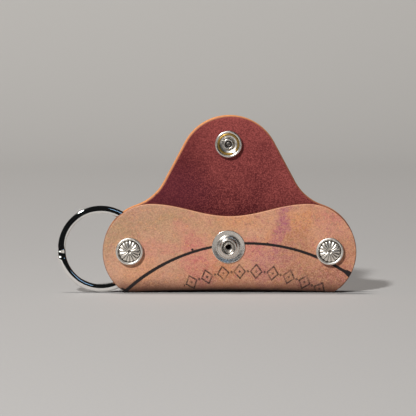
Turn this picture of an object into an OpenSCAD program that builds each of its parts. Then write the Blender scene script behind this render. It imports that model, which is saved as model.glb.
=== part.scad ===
// Key case folded from one piece of leather, with a snap flap and a split key ring.
// X runs along the case, Y from the front panel to the back panel, Z up from the bottom fold.
// The origin is on the surface that the case stands on, halfway between the bottom fold's two ends.
// Units are millimetres.

/* [Leather] */
// Thickness of the leather
leather_t = 1.6; // [1.4:0.1:2]
// Free space between the front panel and the back panel
pocket_gap = 4.3; // [4.2:0.1:5.5]
// Inner radius of the two bends at the bottom fold
bend_r = 0.4; // [0.2:0.1:1.2]

/* [Outline] */
// Radius of the rounded ends of the case
end_r = 18.1; // [17:0.1:20]
// Distance of the rounded ends' centres from the middle of the case
end_x = 29.4; // [27:0.1:34]
// Height of the rounded ends that the bottom fold cuts off
fold_cut = 2.7; // [1.5:0.1:4]
// Height that the bottom fold rises between its two ends
fold_bow = 1; // [0.6:0.1:1.4]
// Depth of the finger dip in the front panel's top edge
dip_depth = 4.6; // [2:0.1:6]

/* [Flap] */
// Gap between the front panel's crests and the closed flap
crest_clear = 0.25; // [0.2:0.05:1]
// Distance that the closed flap stands off from the front panel
flap_standoff = 2.45; // [2.45:0.05:2.8]
// Radius of the flap's round tip
tip_r = 19; // [16:0.5:20]
// Height of leather from the snap's centre to the flap's tip
tip_margin = 10.8; // [9:0.1:13]
// Slope of the flap's straight sides, in degrees from upright
side_slope = 28; // [24:0.5:32]
// Radius of the hollow curve where the flap meets the rounded ends
flare_r = 18.75; // [15:0.25:22]

/* [Snap] */
// Sideways place of the snap, measured from the middle
snap_x = -0.4; // [-2:0.1:2]
// Height of the snap's stud
snap_z = 17.4; // [15:0.1:19]
// Radius of the stud's flange
stud_flange_r = 6.25; // [5.8:0.05:7]
// Radius of the step that the socket's mouth stands on
stud_step_r = 4.15; // [3.8:0.05:4.6]
// Radius of the stud's head
stud_head_r = 3.15; // [3:0.05:3.2]
// Radius of the hollow in the stud's head
stud_well_r = 2.4; // [2.3:0.05:2.5]
// Thickness of the snap's sheet metal
snap_sheet = 0.35; // [0.3:0.01:0.4]
// Outer radius of the eyelet's barrel
eyelet_r = 1.6; // [1.3:0.05:1.65]
// Radius of the eyelet's hole
eyelet_hole_r = 0.95; // [0.6:0.05:1]
// Radius of the eyelet's flange inside the pocket
eyelet_flange_r = 3.2; // [2.6:0.1:4]
// Outer radius of the socket
socket_r = 5.1; // [5:0.05:5.6]
// Height of the socket above the leather
socket_h = 1.65; // [1.6:0.01:1.65]
// Radius of the socket's mouth
socket_mouth_r = 4.05; // [3.9:0.05:4.1]
// Wire radius of the socket's ring spring
spring_wire_r = 0.42; // [0.38:0.01:0.43]
// Opening angle of the ring spring's gap, in degrees
spring_gap_angle = 24; // [10:1:40]
// Outer radius of the cap's post
cap_post_r = 1.65; // [1.4:0.05:1.7]
// Radius of the hollow in the cap's post
cap_post_hole_r = 1.3; // [0.9:0.05:1.3]
// Radius of the cap on the outside of the flap
cap_r = 6.25; // [5.8:0.05:7.5]
// Height of the cap's dome
cap_h = 1.7; // [1.4:0.1:2.4]

/* [Conchos] */
// Distance of a concho's centre from the end of the case
concho_inset = 10; // [8.5:0.1:13]
// Height of a concho's centre above the rounded end's centre
concho_lift = 0.4; // [-1:0.1:1.5]
// Outer radius of a concho
concho_r = 5.2; // [4.8:0.1:6]
// Width of a concho's bright rim
rim_w = 1; // [0.8:0.05:1.2]
// Height of a concho's rim
rim_h = 1.6; // [1.4:0.1:2]
// Thickness of a concho's base plate
cup_sheet = 0.35; // [0.3:0.05:0.5]
// Height of the rosette's crown above the leather
rosette_h = 1.95; // [1.8:0.05:2.3]
// Number of petals on a rosette
petals = 16; // [12:1:20]
// Depth of the grooves between the petals
petal_depth = 0.38; // [0.2:0.02:0.45]

/* [Posts] */
// Radius of a post
post_r = 2; // [1.8:0.05:2.2]
// Radius of the thread bore in a post
post_bore_r = 1.3; // [1:0.05:1.4]
// Radius of a back screw's head
screw_head_r = 4; // [3.4:0.1:5]
// Height of a back screw's head
screw_head_h = 1.1; // [0.9:0.1:1.6]
// Width of the slot in a back screw
slot_w = 0.9; // [0.7:0.05:1.2]
// Depth of the slot in a back screw
slot_depth = 0.5; // [0.3:0.05:0.6]
// Length of a back screw's shank
shank_len = 5; // [4:0.1:6]

/* [Key ring] */
// Outer radius of the key ring
ring_r = 16.2; // [15.5:0.1:16.2]
// Width of the ring's wire, seen from the front
ring_wire_w = 2.85; // [2.4:0.05:3]
// Thickness of one turn of the wire
ring_wire_t = 1.2; // [1:0.05:1.3]
// Gap between the ring's two turns
ring_turn_gap = 0.45; // [0.42:0.01:0.6]
// Gap between the ring's inner edge and the post that it hangs on
ring_post_gap = 0.65; // [0.5:0.05:1]
// Gap between the ring and the surface that the case stands on
ring_floor_gap = 0.05; // [0:0.01:0.3]

/* [Hidden] */
$fn = 64;

// Clearance of a round piece in the leather or the plate that it passes through
hole_clear = 0.05;
// Seat clearance between pieces that meet when the flap is closed
seat_clear = 0.1;
// Overrun of a cut past the face that it opens
overrun = 1;

// Faces of the folded leather
inner_y = pocket_gap / 2;
outer_y = inner_y + leather_t;
bend_outer_r = bend_r + leather_t;
half_len = end_x + end_r;
end_z = end_r - fold_cut;
crest_z = end_z + end_r;

// The bottom fold is an arc that stands on its two ends
fold_half = end_x + sqrt(pow(end_r, 2) - pow(end_z, 2));
bow_r = (pow(fold_half, 2) + pow(fold_bow, 2)) / (2 * fold_bow);
bow_angle = asin((half_len + overrun) / bow_r);

// The flap folds over in three equal strips, each turned by the same angle from the last.
// Their height carries the flap from the back panel's inner face to its stand-off.
fold_count = 4;
fold_angle = 180 / fold_count;
strip_h = (pocket_gap + leather_t + flap_standoff) / (1 + 2 * sin(fold_angle));
fold_z = crest_z + crest_clear - strip_h * sin(fold_angle);
flap_z = fold_z + 3 * strip_h;
socket_z = fold_z + flap_z - snap_z;
flap_top_z = socket_z + tip_margin;
tip_z = flap_top_z - tip_r;

// Centre of the hollow curve, which touches the straight side and the rounded end
side_n = [cos(side_slope), sin(side_slope)];
side_m = [-sin(side_slope), cos(side_slope)];
flare_off = tip_r + flare_r - side_n * [end_x, end_z - tip_z];
flare_run = sqrt(pow(end_r + flare_r, 2) - pow(flare_off, 2));
flare_c = [end_x, end_z] + flare_off * side_n + flare_run * side_m;
flare_angle = atan2(flare_c[1] - end_z, flare_c[0] - end_x);
floor_angle = -asin(end_z / end_r);
arc_steps = 14;
dip_steps = 28;

function arc(c, r, from, to) =
    [for (i = [0:arc_steps]) let (a = from + (to - from) * i / arc_steps) c + r * [cos(a), sin(a)]];
function mirrored(points) = [for (i = [len(points) - 1:-1:0]) [-points[i][0], points[i][1]]];
function dip_top(x) = crest_z - dip_depth * (1 + cos(180 * x / end_x)) / 2;

end_arc = arc([end_x, end_z], end_r, floor_angle, 90);
dip_curve = [for (i = [1:dip_steps - 1]) let (x = end_x - 2 * end_x * i / dip_steps) [x, dip_top(x)]];
front_points = concat(end_arc, dip_curve, mirrored(end_arc));
back_half = concat(
    arc([end_x, end_z], end_r, floor_angle, flare_angle),
    arc(flare_c, flare_r, flare_angle + 180, side_slope + 180),
    arc([0, tip_z], tip_r, side_slope, 90));
back_points = concat(back_half, mirrored(back_half));

// Heights in the snap, measured from the leather that carries each half
stud_step_h = flap_standoff - socket_h - seat_clear;
stud_top_h = flap_standoff - snap_sheet - seat_clear;
head_roll_r = (stud_head_r - stud_well_r) / 2;
neck_r = stud_head_r - head_roll_r / 2;
eyelet_lip_r = stud_well_r - (stud_well_r - eyelet_r) / 2;
eyelet_lip_h = snap_sheet + 0.55 * (stud_step_h + snap_sheet);
socket_wall = snap_sheet;
cap_lip_r = stud_well_r - 3 * seat_clear;
cap_lip_h = snap_sheet + (stud_top_h - eyelet_lip_h) / 2;
spring_seat = 0.03;
spring_z = socket_h - snap_sheet - spring_wire_r - spring_seat;
spring_ring_r = stud_head_r + 2 * seat_clear + spring_wire_r;

// Place of the conchos and posts, and heights in a concho, measured from the leather
concho_x = half_len - concho_inset;
concho_z = end_z + concho_lift;
post_flange_h = cup_sheet;
post_flange_r = concho_r - rim_w - 3 * seat_clear;
rosette_r = concho_r - rim_w - seat_clear;
rosette_base = cup_sheet + post_flange_h;
post_len = 2 * outer_y - 3 * seat_clear;

// The key ring hangs on the left post and rests on the floor beside the case
ring_mid_r = ring_r - ring_wire_w / 2;
ring_x = -concho_x - (ring_r - ring_wire_w - post_r - ring_post_gap);
ring_z = ring_r + ring_floor_gap;
ring_step = 15;
ring_start = 180;
ring_cross_from = 20;
ring_cross_steps = 3;
ring_steps = 44;
ring_half_pitch = (ring_wire_t + ring_turn_gap) / 2;

leather_inside = "#7d3a3a";
leather_outside = "#c8906e";
steel = "#c9ccd0";
bright = "#e2e3e5";
brass = "#b8862c";

// Lays a flat outline upright, from one depth to another
module upright(y0, y1) {
    translate([0, y1, 0]) rotate([90, 0, 0]) linear_extrude(y1 - y0) children();
}

// Stands a turned piece on a face so that its axis points to the front
module facing_front(x, y, z) {
    translate([x, y, z]) rotate([90, 0, 0]) children();
}

// Stands a turned piece on a face so that its axis points to the back
module facing_back(x, y, z) {
    translate([x, y, z]) rotate([-90, 0, 0]) children();
}

// A flat ring in a turned section, from one radius and height to another
module ring_2d(r0, r1, h0, h1) {
    translate([r0, h0]) square([r1 - r0, h1 - h0]);
}

module trough_2d(half, r, top) {
    translate([-half, r]) square([2 * half, top - r]);
    translate([r - half, 0]) square([2 * (half - r), 2 * r]);
    for (side = [-1, 1]) translate([side * (half - r), r]) circle(r);
}

module panel_section() {
    difference() {
        trough_2d(outer_y, bend_outer_r, crest_z + overrun);
        translate([0, leather_t]) trough_2d(inner_y, bend_r, crest_z + overrun);
    }
}

module bowed_panels() {
    translate([0, 0, fold_bow - bow_r]) rotate([90, 0, 0]) rotate([0, 0, 90 - bow_angle])
        rotate_extrude(angle = 2 * bow_angle, $fn = 720)
            translate([bow_r, 0]) rotate(-90) panel_section();
}

module back_band(z0, z1) {
    intersection() {
        polygon(back_points);
        translate([-half_len, z0]) square([2 * half_len, z1 - z0]);
    }
}

module post_holes() {
    for (side = [-1, 1])
        facing_front(side * concho_x, outer_y + overrun, concho_z)
            cylinder(r = post_r + hole_clear, h = 2 * (outer_y + overrun));
}

module leather_case() {
    color(leather_outside) difference() {
        intersection() {
            bowed_panels();
            union() {
                upright(-outer_y, 0) polygon(front_points);
                upright(0, outer_y) back_band(0, fold_z);
            }
        }
        post_holes();
        facing_front(snap_x, -inner_y + overrun, snap_z)
            cylinder(r = eyelet_r + hole_clear, h = leather_t + 2 * overrun);
    }
}

module fold_strip(i) {
    z0 = fold_z + i * strip_h;
    color(leather_inside) upright(inner_y, outer_y) back_band(z0, z0 + strip_h);
}

module fold_strip_1() { fold_strip(0); }

module fold_strip_2() { fold_strip(1); }

module fold_strip_3() { fold_strip(2); }

module leather_flap() {
    color(leather_inside) difference() {
        upright(inner_y, outer_y) back_band(flap_z, flap_top_z);
        facing_front(snap_x, outer_y + overrun, socket_z)
            cylinder(r = cap_post_r + hole_clear, h = leather_t + 2 * overrun);
    }
}

module snap_stud() {
    roll = snap_sheet / 2;
    color(steel) facing_front(snap_x, -outer_y, snap_z) rotate_extrude() {
        ring_2d(eyelet_r + hole_clear, stud_flange_r - roll, 0, snap_sheet);
        translate([stud_flange_r - roll, roll]) circle(roll, $fn = 24);
        ring_2d(stud_well_r, stud_step_r, 0, stud_step_h);
        ring_2d(stud_well_r, neck_r, 0, stud_top_h - head_roll_r);
        translate([stud_well_r + head_roll_r, stud_top_h - head_roll_r]) circle(head_roll_r, $fn = 32);
    }
}

module snap_eyelet() {
    lip_t = eyelet_lip_h - snap_sheet;
    color(bright) facing_front(snap_x, -outer_y, snap_z) rotate_extrude() {
        ring_2d(eyelet_hole_r, eyelet_flange_r, -leather_t - snap_sheet, -leather_t);
        ring_2d(eyelet_hole_r, eyelet_r, -leather_t, snap_sheet);
        polygon([
            [eyelet_hole_r, snap_sheet], [eyelet_lip_r, snap_sheet],
            [eyelet_lip_r, eyelet_lip_h - lip_t / 2], [eyelet_lip_r - lip_t / 4, eyelet_lip_h],
            [eyelet_r, eyelet_lip_h], [eyelet_hole_r, snap_sheet + lip_t / 4]]);
    }
}

module snap_socket() {
    roll = snap_sheet / 2;
    color(steel) facing_front(snap_x, inner_y, socket_z) rotate_extrude() {
        ring_2d(cap_post_r + hole_clear, socket_r, 0, snap_sheet - hole_clear);
        ring_2d(socket_r - socket_wall, socket_r, 0, socket_h - roll);
        ring_2d(socket_mouth_r + roll, socket_r - roll, socket_h - snap_sheet, socket_h);
        translate([socket_mouth_r + roll, socket_h - roll]) circle(roll, $fn = 24);
        translate([socket_r - roll, socket_h - roll]) circle(roll, $fn = 24);
    }
}

module snap_ring_spring() {
    color(brass) facing_front(snap_x, inner_y, socket_z)
        translate([0, 0, spring_z]) rotate([0, 0, -spring_gap_angle])
            rotate_extrude(angle = 360 - spring_gap_angle)
                translate([spring_ring_r, 0]) circle(spring_wire_r, $fn = 24);
}

module dome_2d(r, h) {
    ball_r = (r * r + h * h) / (2 * h);
    intersection() {
        translate([0, h - ball_r]) circle(ball_r, $fn = 128);
        square([r, h]);
    }
}

module snap_cap() {
    color(steel) facing_back(snap_x, outer_y, socket_z) rotate_extrude() difference() {
        dome_2d(cap_r, cap_h);
        dome_2d(cap_r - snap_sheet, cap_h - snap_sheet);
    }
}

module snap_cap_post() {
    lip_t = cap_lip_h - snap_sheet;
    color(bright) facing_front(snap_x, inner_y, socket_z) rotate_extrude() {
        ring_2d(0, cap_r - 4 * snap_sheet, -leather_t - snap_sheet, -leather_t);
        ring_2d(cap_post_hole_r, cap_post_r, -leather_t, snap_sheet);
        ring_2d(0, cap_post_r, -leather_t, -leather_t / 2);
        ring_2d(cap_post_hole_r, cap_lip_r - lip_t / 2, snap_sheet - hole_clear, cap_lip_h);
        translate([cap_lip_r - lip_t / 2, cap_lip_h - lip_t / 2]) circle(lip_t / 2, $fn = 24);
    }
}

module concho_cup(side) {
    rim_r = rim_w / 2;
    rim_mid = concho_r - rim_r;
    color(bright) facing_front(side * concho_x, -outer_y, concho_z) rotate_extrude() {
        ring_2d(post_r + hole_clear, rim_mid, 0, cup_sheet);
        ring_2d(rim_mid - rim_r, rim_mid + rim_r, 0, rim_h - rim_r);
        translate([rim_mid, rim_h - rim_r]) circle(rim_r, $fn = 32);
    }
}

// Height of the rosette at a share of its radius, on a petal's ridge
function crown(u) = rosette_base + (rosette_h - rosette_base) * (0.45 + 0.55 * cos(90 * u * u));
// Depth of the groove beside a petal at a share of the rosette's radius
function groove(u) = petal_depth * min(1, 3 * (u - 0.2)) * (u > 0.2 ? 1 : 0);

rosette_shares = [0.12, 0.24, 0.5, 0.78, 1];
rosette_steps = 4;

module rosette(side) {
    spokes = petals * rosette_steps;
    rows = len(rosette_shares);
    wave = [for (k = [0:rosette_steps - 1]) (1 - cos(360 * k / rosette_steps)) / 2];
    dimple = rosette_h - petal_depth;
    points = concat(
        [[0, 0, dimple]],
        [for (u = rosette_shares) for (s = [0:spokes - 1])
            let (a = 360 * s / spokes, r = rosette_r * u)
            [r * cos(a), r * sin(a), crown(u) - groove(u) * wave[s % rosette_steps]]],
        [for (s = [0:spokes - 1]) let (a = 360 * s / spokes)
            [rosette_r * cos(a), rosette_r * sin(a), rosette_base]],
        [[0, 0, rosette_base]]);
    last = 1 + (rows + 1) * spokes;
    faces = concat(
        [for (s = [0:spokes - 1]) [0, 1 + (s + 1) % spokes, 1 + s]],
        [for (k = [0:rows - 1]) for (s = [0:spokes - 1])
            let (a = 1 + k * spokes + s, b = 1 + k * spokes + (s + 1) % spokes)
            [a, b, a + spokes]],
        [for (k = [0:rows - 1]) for (s = [0:spokes - 1])
            let (a = 1 + k * spokes + s, b = 1 + k * spokes + (s + 1) % spokes)
            [b, b + spokes, a + spokes]],
        [for (s = [0:spokes - 1])
            [last, 1 + rows * spokes + s, 1 + rows * spokes + (s + 1) % spokes]]);
    color(bright) facing_front(side * concho_x, -outer_y, concho_z) polyhedron(points, faces);
}

module post(side) {
    color(steel) facing_front(side * concho_x, -outer_y, concho_z) difference() {
        union() {
            translate([0, 0, cup_sheet - post_len]) cylinder(r = post_r, h = post_len);
            translate([0, 0, cup_sheet]) cylinder(r = post_flange_r, h = post_flange_h);
        }
        translate([0, 0, cup_sheet - post_len - overrun])
            cylinder(r = post_bore_r, h = shank_len + overrun);
    }
}

module back_screw(side) {
    edge = screw_head_h / 4;
    color(steel) facing_back(side * concho_x, outer_y, concho_z) difference() {
        union() {
            rotate_extrude() polygon([
                [0, 0], [screw_head_r, 0], [screw_head_r, screw_head_h - 2 * edge],
                [screw_head_r - edge, screw_head_h - edge / 2],
                [screw_head_r - 3 * edge, screw_head_h], [0, screw_head_h]]);
            translate([0, 0, -shank_len]) cylinder(r = post_bore_r - hole_clear, h = shank_len + edge);
        }
        translate([-screw_head_r - overrun, -slot_w / 2, screw_head_h - slot_depth])
            cube([2 * (screw_head_r + overrun), slot_w, slot_depth + overrun]);
    }
}

module left_concho_cup() { concho_cup(-1); }

module left_rosette() { rosette(-1); }

module left_post() { post(-1); }

module left_back_screw() { back_screw(-1); }

module right_concho_cup() { concho_cup(1); }

module right_rosette() { rosette(1); }

module right_post() { post(1); }

module right_back_screw() { back_screw(1); }

// The ring's wire runs once round in front, crosses behind its own start, and runs round again.
function ring_layer(i) = let (u = min(1, max(0, (i - ring_cross_from) / ring_cross_steps)))
    u * u * (3 - 2 * u);
function ring_section(i) =
    let (
        a = ring_start - ring_step * i,
        y = ring_half_pitch * (2 * ring_layer(i) - 1),
        w = ring_wire_w / 2,
        t = ring_wire_t / 2)
    [for (p = [[w, 0], [w / 2, t], [-w / 2, t], [-w, 0], [-w / 2, -t], [w / 2, -t]])
        [(ring_mid_r + p[0]) * cos(a), y + p[1], (ring_mid_r + p[0]) * sin(a)]];
ring_sections = [for (i = [0:ring_steps]) ring_section(i)];
ring_least_gap = min([for (i = [0:ring_steps]) for (j = [i + 4:1:ring_steps])
    for (p = ring_sections[i]) for (q = ring_sections[j]) norm(p - q)]);

module key_ring() {
    sides = len(ring_sections[0]);
    points = [for (section = ring_sections) for (p = section) p];
    last = ring_steps * sides;
    echo(ring_least_gap = ring_least_gap);
    faces = concat(
        [for (k = [1:sides - 2]) [0, k + 1, k]],
        [for (i = [0:ring_steps - 1]) for (k = [0:sides - 1])
            let (a = i * sides + k, b = i * sides + (k + 1) % sides) [a, b, a + sides]],
        [for (i = [0:ring_steps - 1]) for (k = [0:sides - 1])
            let (a = i * sides + k, b = i * sides + (k + 1) % sides) [b, b + sides, a + sides]],
        [for (k = [1:sides - 2]) [last, last + k, last + k + 1]]);
    color(bright) translate([ring_x, 0, ring_z]) polyhedron(points, faces);
}

leather_case();
fold_strip_1();
fold_strip_2();
fold_strip_3();
leather_flap();
snap_stud();
snap_eyelet();
snap_socket();
snap_ring_spring();
snap_cap();
snap_cap_post();
left_concho_cup();
left_rosette();
left_post();
left_back_screw();
right_concho_cup();
right_rosette();
right_post();
right_back_screw();
key_ring();
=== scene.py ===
import math

import bmesh
import bpy
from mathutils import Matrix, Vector, noise
from mathutils.geometry import delaunay_2d_cdt


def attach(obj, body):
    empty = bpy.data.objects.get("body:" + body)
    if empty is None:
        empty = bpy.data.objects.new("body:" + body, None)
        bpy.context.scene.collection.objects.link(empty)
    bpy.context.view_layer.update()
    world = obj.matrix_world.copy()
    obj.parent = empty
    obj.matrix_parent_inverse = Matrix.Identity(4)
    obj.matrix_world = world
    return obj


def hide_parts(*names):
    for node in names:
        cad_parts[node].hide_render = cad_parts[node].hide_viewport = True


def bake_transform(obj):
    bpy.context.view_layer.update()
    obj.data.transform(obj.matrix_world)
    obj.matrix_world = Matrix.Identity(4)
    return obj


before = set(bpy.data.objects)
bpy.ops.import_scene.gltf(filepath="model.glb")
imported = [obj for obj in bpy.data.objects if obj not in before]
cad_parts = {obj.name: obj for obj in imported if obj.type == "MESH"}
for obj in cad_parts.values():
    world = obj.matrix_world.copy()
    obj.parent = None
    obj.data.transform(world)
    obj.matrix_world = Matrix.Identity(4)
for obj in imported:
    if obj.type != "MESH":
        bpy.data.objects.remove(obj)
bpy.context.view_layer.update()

MM = 0.001

# Sizes in millimetres, the same as in the part's source
LEATHER_T = 1.6
OUTER_Y, INNER_Y = 3.75, 2.15  # the two faces of a panel, from the middle plane
END_R, END_X, END_Z = 18.1, 29.4, 15.4  # the round ends
CREST_Z, DIP = 33.5, 4.6  # the front panel's top edge
FOLD_Z, STRIP_H = 31.30434, 3.45868  # the flap's bend, made of three strips
TIP_R, TIP_Z = 19.0, 47.38472  # the flap's tip
FLARE_R, SIDE_SLOPE = 18.75, 28.0  # the flap's sides
FOLD_BOW = 1.0  # how far the front of the bottom fold bows up
SNAP_X, STUD_Z, SOCKET_Z = -0.4, 17.4, 55.58472
CONCHO_X, CONCHO_Z = 37.5, 15.8
RING_X, RING_Z, RING_R, RING_W = -48.2, 16.25, 16.2, 2.85

# The visible bend under the case is a little fuller than the solid's: half of its flat
# underside, then the depth and height of its round part
BEND_FLAT, BEND_Y, BEND_Z = 1.35, 2.4, 2.2
BEND_LEN = BEND_FLAT + 0.5 * math.pi * math.sqrt((BEND_Y ** 2 + BEND_Z ** 2) / 2)
FOLD_HALF = END_X + math.sqrt(END_R ** 2 - END_Z ** 2)
BOW_R = (FOLD_HALF ** 2 + FOLD_BOW ** 2) / (2 * FOLD_BOW)

# The leather's edge: a small round on the outer face and a hand-cut bevel on the inner one
EDGE_ROUND = 0.32
BEVEL_W, BEVEL_T = 0.62, 0.5
BEVEL_LEFT, BEVEL_LESS = 1.4, 0.65  # BEVEL_W times this at the left, less this at the right
POST_HOLE_R, STUD_HOLE_R, SOCKET_HOLE_R = 2.0, 1.6, 1.65

# The flap's forward curl, and the leather's slight waves
CURL = 0.0017
WAVE, WAVE_LENGTH = 0.1, 13

# The points inside a leather piece: their steps across, up a panel and round the bend, and
# how far they keep from the border and from holes
GRID_X, GRID_U, GRID_BEND = 1.7, 1.5, 0.62
BORDER_GAP, HOLE_GAP = 0.55, 0.4
HOLE_SIDES = 32
OUTSIDE, INSIDE, CUT = range(3)  # the leather's material slots


# Mesh helpers

def mesh_object(name, verts, faces, materials, unit=MM):
    mesh = bpy.data.meshes.new(name)
    mesh.from_pydata([Vector(v) * unit for v in verts], [], faces)
    mesh.update()
    mesh.shade_smooth()
    for material in materials:
        mesh.materials.append(material)
    obj = bpy.data.objects.new(name, mesh)
    bpy.context.collection.objects.link(obj)
    return obj


def add_vectors(obj, name, vectors):
    layer = obj.data.attributes.new(name, "FLOAT_VECTOR", "POINT")
    for item, vector in zip(layer.data, vectors):
        item.vector = vector


def mark_sharp(obj, is_sharp):
    layer = obj.data.attributes.new("sharp_edge", "BOOLEAN", "EDGE")
    for edge in obj.data.edges:
        layer.data[edge.index].value = is_sharp(*edge.vertices)


def smooth(a, b, x):
    t = min(1.0, max(0.0, (x - a) / (b - a)))
    return t * t * (3 - 2 * t)


def arc(cx, cz, r, a0, a1, steps):
    angles = [math.radians(a0 + (a1 - a0) * i / steps) for i in range(steps + 1)]
    return [(cx + r * math.cos(a), cz + r * math.sin(a)) for a in angles]


# The leather is one flat sheet, bent by sheet_point: x runs along the case, u up the sheet
# from the bottom fold (below 0 on the front), n into the leather from its outer face

def bow(x):
    return max(0.0, FOLD_BOW - BOW_R + math.sqrt(BOW_R ** 2 - x * x))


def bow_share(h, y):
    """The bow fades out from 3 to 15 mm up, and across the fold from its front to its back."""
    return (1 - smooth(3, 15, h)) * (1 - smooth(-2.0, 0.8, y))


def height_to_u(x, z, side=1):
    """How far up the sheet a point at height z lies. The bow depends on the height below it,
    so the answer is found in a few rounds."""
    h = z
    for _ in range(12):
        h = z - bow(x) * bow_share(h, side * OUTER_Y)
    return BEND_LEN + h - BEND_Z


def bend_angle(u):
    return 0.5 * math.pi * max(0.0, u - BEND_FLAT) / (BEND_LEN - BEND_FLAT)


def sheet_point(x, u, n):
    side, a = (1 if u >= 0 else -1), abs(u)
    if a <= BEND_FLAT:
        y, h = a, n
    elif a < BEND_LEN:
        y = BEND_FLAT + (BEND_Y - n) * math.sin(bend_angle(a))
        h = BEND_Z - (BEND_Z - n) * math.cos(bend_angle(a))
    else:
        y, h = OUTER_Y - n, a - BEND_LEN + BEND_Z
    y *= side
    z = h + bow(x) * bow_share(h, y)
    if side > 0:
        y -= CURL * x * x * smooth(44, 56, h)
        lift = smooth(44, 50, h)
    else:
        lift = smooth(6, 12, h) * (1 - smooth(24, 29.5, h))
    wave = noise.noise(Vector((x / WAVE_LENGTH, u / WAVE_LENGTH, 3.1))) * WAVE
    return Vector((x, y + wave * lift, z))


def flare_centre():
    """The centre of the hollow curve between a round end and the flap's straight side."""
    s = math.radians(SIDE_SLOPE)
    nx, nz, mx, mz = math.cos(s), math.sin(s), -math.sin(s), math.cos(s)
    off = TIP_R + FLARE_R - (nx * END_X + nz * (END_Z - TIP_Z))
    run = math.sqrt((END_R + FLARE_R) ** 2 - off ** 2)
    return END_X + off * nx + run * mx, END_Z + off * nz + run * mz


FLARE_X, FLARE_Z = flare_centre()
FLARE_A = math.degrees(math.atan2(FLARE_Z - END_Z, FLARE_X - END_X))
BEND_A = math.degrees(math.asin((BEND_Z - END_Z) / END_R))  # where the round end meets the bend
CUTS = [FOLD_Z + (i - 0.5) * STRIP_H for i in range(4)]  # heights of the cuts between pieces
CUT_US = [BEND_LEN + cut - BEND_Z for cut in CUTS]


def bend_end_points():
    out = []
    for i in range(13):
        u = BEND_LEN * i / 12
        z = BEND_Z * (1 - math.cos(bend_angle(u)))
        out.append((END_X + math.sqrt(END_R ** 2 - (z - END_Z) ** 2), u))
    return out


def right_back():
    """The back's right outline from the end of the bend to the tip, as (x, u, cut): the point
    nearest to each cut is moved onto it and holds its number."""
    pts = arc(END_X, END_Z, END_R, BEND_A, FLARE_A, 56)[1:]
    pts += arc(FLARE_X, FLARE_Z, FLARE_R, FLARE_A + 180, SIDE_SLOPE + 180, 26)[1:]
    tip = arc(0, TIP_Z, TIP_R, SIDE_SLOPE, 90, 26)
    (xa, za), (xb, zb) = pts[-1], tip[0]
    pts += [(xa + (xb - xa) * i / 10, za + (zb - za) * i / 10) for i in range(1, 10)]
    out = [(x, height_to_u(x, z), None) for x, z in pts + tip]
    for k, level in enumerate(CUT_US):
        for i in range(len(out) - 1):
            (x0, u0, _), (x1, u1, _) = out[i], out[i + 1]
            if u0 < level <= u1:
                t = (level - u0) / (u1 - u0)
                out[i if t < 0.5 else i + 1] = (x0 + (x1 - x0) * t, level, k)
                break
    return out


def right_front():
    """The front's right outline from the middle of the dip to the end of the bend."""
    xs = [END_X * i / 30 for i in range(30)]
    pts = [(x, CREST_Z - DIP * (1 + math.cos(math.pi * x / END_X)) / 2) for x in xs]
    pts += arc(END_X, END_Z, END_R, 90, BEND_A, 52)[:-1]
    return [(x, -height_to_u(x, z, -1), None) for x, z in pts]


def sheet_loop():
    """The sheet's whole outline, anticlockwise in (x, u)."""
    bend = [(x, u, None) for x, u in bend_end_points()]
    right = bend + right_back()
    left = [(-x, u, k) for x, u, k in reversed(right[1:-1])] + [(-right[0][0], 0.0, None)]
    front = right_front()
    down_left = [(-x, -u, None) for x, u, _ in bend[1:]]
    down_left += [(-x, u, None) for x, u, _ in reversed(front[1:])]
    up_right = front + [(x, -u, None) for x, u, _ in reversed(bend[1:])]
    return right + left + down_left + up_right


def loop_normals(loop):
    out = []
    for i in range(len(loop)):
        (x0, u0, _), (x1, u1, _) = loop[i - 1], loop[(i + 1) % len(loop)]
        dx, du = x1 - x0, u1 - u0
        size = math.hypot(dx, du)
        out.append((du / size, -dx / size))
    return out


LOOP = sheet_loop()
NORMALS = loop_normals(LOOP)

# The edge's section from the outer face to the inner one: (distance in from the edge, depth)
ROWS = [(BEVEL_W, 0.0), (EDGE_ROUND, 0.0), (0.3 * EDGE_ROUND, 0.3 * EDGE_ROUND),
        (0.0, EDGE_ROUND), (0.0, LEATHER_T / 2), (0.0, LEATHER_T - BEVEL_T),
        (0.12 * BEVEL_W, LEATHER_T - 0.6 * BEVEL_T),
        (0.45 * BEVEL_W, LEATHER_T - 0.22 * BEVEL_T), (BEVEL_W, LEATHER_T)]
OUTSIDE_ROWS = 2  # the strips of the section that belong to the outer face


def loop_point(i, inset, bevel=False):
    """A loop point moved in from the edge, and along its cut where it lies on one."""
    x, u, cut = LOOP[i]
    if bevel:
        inset *= BEVEL_LEFT - BEVEL_LESS * smooth(-6, 8, x)
    nx, nu = NORMALS[i]
    if cut is not None:
        return x - inset * math.copysign(1 / max(abs(nx), 0.3), nx), u
    return x - inset * nx, u - inset * nu


def inside(p, poly):
    x, y = p
    hit = False
    for i in range(len(poly)):
        (x0, y0), (x1, y1) = poly[i - 1], poly[i]
        if (y0 > y) != (y1 > y) and x < (x1 - x0) * (y - y0) / (y1 - y0) + x0:
            hit = not hit
    return hit


def clear_of(p, poly, gap):
    x, y = p
    for i in range(len(poly)):
        (x0, y0), (x1, y1) = poly[i - 1], poly[i]
        dx, dy = x1 - x0, y1 - y0
        t = max(0.0, min(1.0, ((x - x0) * dx + (y - y0) * dy) / (dx * dx + dy * dy)))
        if (x0 + t * dx - x) ** 2 + (y0 + t * dy - y) ** 2 < gap * gap:
            return False
    return True


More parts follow.
